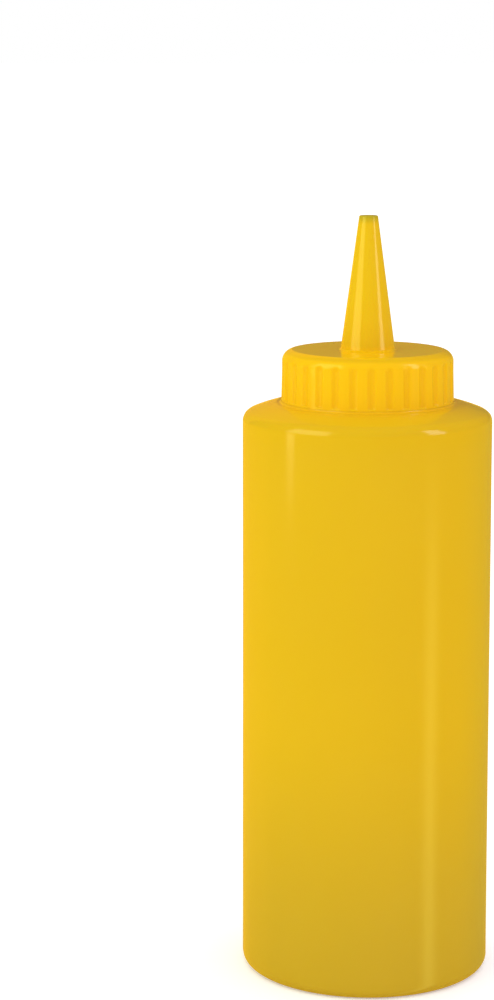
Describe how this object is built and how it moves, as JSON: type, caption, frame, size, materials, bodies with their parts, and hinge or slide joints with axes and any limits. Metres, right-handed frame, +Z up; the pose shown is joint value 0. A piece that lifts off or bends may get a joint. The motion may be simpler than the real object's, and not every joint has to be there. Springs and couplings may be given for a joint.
{
  "type": "squeeze bottle",
  "caption": "Slim round squeeze bottle for sauces, with a straight body, a low domed shoulder and a ribbed screw cap that carries a tall cone spout.",
  "frame": {"origin": "centre of the foot, on the surface that the bottle stands on", "axes": "+Z up along the bottle's axis, from the foot to the spout's tip; the bottle is round, and its front is taken to face -Y"},
  "size_m": [0.0636, 0.0636, 0.1943],
  "materials": {
    "body_plastic": "satin soft yellow polyethylene, opaque, blow-moulded",
    "cap_plastic": "glossy yellow polyethylene, opaque, injection-moulded, one piece with the spout"
  },
  "bodies": {
    "root": {"bottle_body": "body_plastic", "screw_cap": "cap_plastic"}
  },
  "joints": []
}
